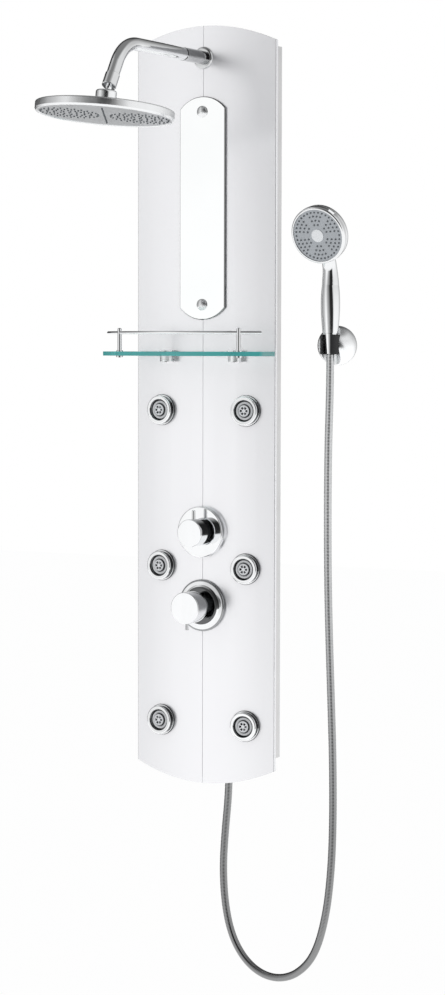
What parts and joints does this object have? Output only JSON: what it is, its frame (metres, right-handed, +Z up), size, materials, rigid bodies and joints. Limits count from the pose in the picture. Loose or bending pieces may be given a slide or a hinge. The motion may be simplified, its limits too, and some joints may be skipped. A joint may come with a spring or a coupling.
{
  "type": "shower panel column",
  "caption": "Wall-hung shower column with overhead rain head, mirror, glass shelf, body jets, two round controls and a hand shower on a flexible hose.",
  "frame": {"origin": "centre of the four wall holes, on the wall plane and at mid-height of the panel", "axes": "+X to the right along the wall, +Y into the wall so that the front faces -Y, +Z up"},
  "size_m": [0.4992, 0.539, 1.8216],
  "materials": {
    "satin_panel": "satin, fine vertical brushing",
    "dark_strip": "matte dark grey",
    "frame_steel": "folded mill-finish sheet",
    "bracket_steel": "bent zinc-plated plate",
    "chrome_trim": "polished chrome",
    "chrome_tube": "polished chrome tube",
    "chromed_plastic": "chrome-plated moulding",
    "nozzle_plate": "chrome-plated plate, slightly dulled",
    "handset_plate": "light grey gloss",
    "nozzle_rubber": "soft grey silicone",
    "seat_plastic": "matte moulded plastic",
    "jet_insert": "pale grey moulding",
    "mirror": "silvered glass",
    "shelf_glass": "clear toughened glass, polished edge",
    "screw_steel": "dark socket screw",
    "brass_valve": "cast and turned brass",
    "water_tube": "moulded water tube",
    "metal_hose": "interlocked chromed metal strip"
  },
  "bodies": {
    "column": {"front_panel_left": "satin_panel", "front_panel_right": "satin_panel", "seam_strip": "dark_strip", "back_frame": "frame_steel", "wall_brackets": "bracket_steel", "arm_flange": "chrome_trim", "arm_sleeve": "chrome_trim", "shower_arm": "chrome_tube", "arm_collar": "chrome_trim", "swivel_ball": "chrome_trim", "mirror_glass": "mirror", "mirror_caps": "chrome_trim", "glass_shelf": "shelf_glass", "shelf_clamps": "chrome_trim", "gallery_rail": "chrome_tube", "rail_posts": "chrome_trim", "post_nuts": "chrome_trim", "grub_screws": "screw_steel", "diverter_flange": "chrome_trim", "diverter_valve": "brass_valve", "mixer_flange": "chrome_trim", "mixer_valve": "brass_valve", "supply_inlets": "brass_valve", "riser_tube": "water_tube", "jet_manifold": "water_tube", "hose_outlet": "water_tube", "jet_bezels": "chrome_trim", "jet_lock_nuts": "seat_plastic", "holder_base": "seat_plastic", "holder_ball": "chrome_trim", "holder_clip": "chromed_plastic", "shower_hose": "metal_hose", "hose_nut": "chrome_trim"},
    "head_carrier": {"swivel_seat_ring": "seat_plastic"},
    "rain_head": {"swivel_nut": "chrome_trim", "head_shell": "chromed_plastic", "head_nozzle_plate": "nozzle_plate", "head_nozzles": "nozzle_rubber"},
    "diverter": {"diverter_knob": "chrome_trim", "diverter_pin": "chrome_trim"},
    "mixer": {"mixer_knob": "chrome_trim", "mixer_pin": "chrome_trim"},
    "hand_shower": {"handset_shell": "chromed_plastic", "handset_face": "handset_plate", "handset_nozzles": "nozzle_rubber", "handset_cap": "chromed_plastic", "cone_nut": "chrome_trim"},
    "hand_selector": {"handset_selector_ring": "chromed_plastic"},
    "jet_carrier_upper_left": {"jet_ring_upper_left": "seat_plastic"},
    "jet_upper_left": {"jet_ball_upper_left": "jet_insert"},
    "jet_carrier_upper_right": {"jet_ring_upper_right": "seat_plastic"},
    "jet_upper_right": {"jet_ball_upper_right": "jet_insert"},
    "jet_carrier_middle_left": {"jet_ring_middle_left": "seat_plastic"},
    "jet_middle_left": {"jet_ball_middle_left": "jet_insert"},
    "jet_carrier_middle_right": {"jet_ring_middle_right": "seat_plastic"},
    "jet_middle_right": {"jet_ball_middle_right": "jet_insert"},
    "jet_carrier_lower_left": {"jet_ring_lower_left": "seat_plastic"},
    "jet_lower_left": {"jet_ball_lower_left": "jet_insert"},
    "jet_carrier_lower_right": {"jet_ring_lower_right": "seat_plastic"},
    "jet_lower_right": {"jet_ball_lower_right": "jet_insert"}
  },
  "joints": [
    {"name": "head_tilt", "type": "hinge", "parent": "column", "child": "head_carrier", "pos_m": [0, -0.41143, 0.56548], "axis": [1, 0, 0], "range_deg": [-15, 8]},
    {"name": "head_roll", "type": "hinge", "parent": "head_carrier", "child": "rain_head", "pos_m": [0, -0.41143, 0.56548], "axis": [0, 1, 0], "range_deg": [-10, 10]},
    {"name": "diverter_turn", "type": "hinge", "parent": "column", "child": "diverter", "pos_m": [0, -0.08, -0.238], "axis": [0, 1, 0], "range_deg": [-90, 90]},
    {"name": "mixer_turn", "type": "hinge", "parent": "column", "child": "mixer", "pos_m": [0, -0.08, -0.38], "axis": [0, 1, 0], "range_deg": [-90, 90]},
    {"name": "hand_shower_lift", "type": "slide", "parent": "column", "child": "hand_shower", "axis": [0, 0, 1], "range_m": [0, 0.07]},
    {"name": "spray_selector_turn", "type": "hinge", "parent": "hand_shower", "child": "hand_selector", "pos_m": [0.2715, -0.114, 0.3205], "axis": [0, -0.9432, -0.3322], "range_deg": [-30, 30]},
    {"name": "jet_spin_upper_left", "type": "hinge", "parent": "column", "child": "jet_carrier_upper_left", "pos_m": [-0.09274, -0.0613, -0.005], "axis": [-0.0797, -0.9968, 0], "continuous": true},
    {"name": "jet_tilt_upper_left", "type": "hinge", "parent": "jet_carrier_upper_left", "child": "jet_upper_left", "pos_m": [-0.09274, -0.0613, -0.005], "axis": [0.9968, -0.0797, 0], "range_deg": [-15, 15]},
    {"name": "jet_spin_upper_right", "type": "hinge", "parent": "column", "child": "jet_carrier_upper_right", "pos_m": [0.09274, -0.0613, -0.005], "axis": [0.0797, -0.9968, 0], "continuous": true},
    {"name": "jet_tilt_upper_right", "type": "hinge", "parent": "jet_carrier_upper_right", "child": "jet_upper_right", "pos_m": [0.09274, -0.0613, -0.005], "axis": [0.9968, 0.0797, 0], "range_deg": [-15, 15]},
    {"name": "jet_spin_middle_left", "type": "hinge", "parent": "column", "child": "jet_carrier_middle_left", "pos_m": [-0.09274, -0.0613, -0.3065], "axis": [-0.0797, -0.9968, 0], "continuous": true},
    {"name": "jet_tilt_middle_left", "type": "hinge", "parent": "jet_carrier_middle_left", "child": "jet_middle_left", "pos_m": [-0.09274, -0.0613, -0.3065], "axis": [0.9968, -0.0797, 0], "range_deg": [-15, 15]},
    {"name": "jet_spin_middle_right", "type": "hinge", "parent": "column", "child": "jet_carrier_middle_right", "pos_m": [0.09274, -0.0613, -0.3065], "axis": [0.0797, -0.9968, 0], "continuous": true},
    {"name": "jet_tilt_middle_right", "type": "hinge", "parent": "jet_carrier_middle_right", "child": "jet_middle_right", "pos_m": [0.09274, -0.0613, -0.3065], "axis": [0.9968, 0.0797, 0], "range_deg": [-15, 15]},
    {"name": "jet_spin_lower_left", "type": "hinge", "parent": "column", "child": "jet_carrier_lower_left", "pos_m": [-0.09274, -0.0613, -0.608], "axis": [-0.0797, -0.9968, 0], "continuous": true},
    {"name": "jet_tilt_lower_left", "type": "hinge", "parent": "jet_carrier_lower_left", "child": "jet_lower_left", "pos_m": [-0.09274, -0.0613, -0.608], "axis": [0.9968, -0.0797, 0], "range_deg": [-15, 15]},
    {"name": "jet_spin_lower_right", "type": "hinge", "parent": "column", "child": "jet_carrier_lower_right", "pos_m": [0.09274, -0.0613, -0.608], "axis": [0.0797, -0.9968, 0], "continuous": true},
    {"name": "jet_tilt_lower_right", "type": "hinge", "parent": "jet_carrier_lower_right", "child": "jet_lower_right", "pos_m": [0.09274, -0.0613, -0.608], "axis": [0.9968, 0.0797, 0], "range_deg": [-15, 15]}
  ]
}
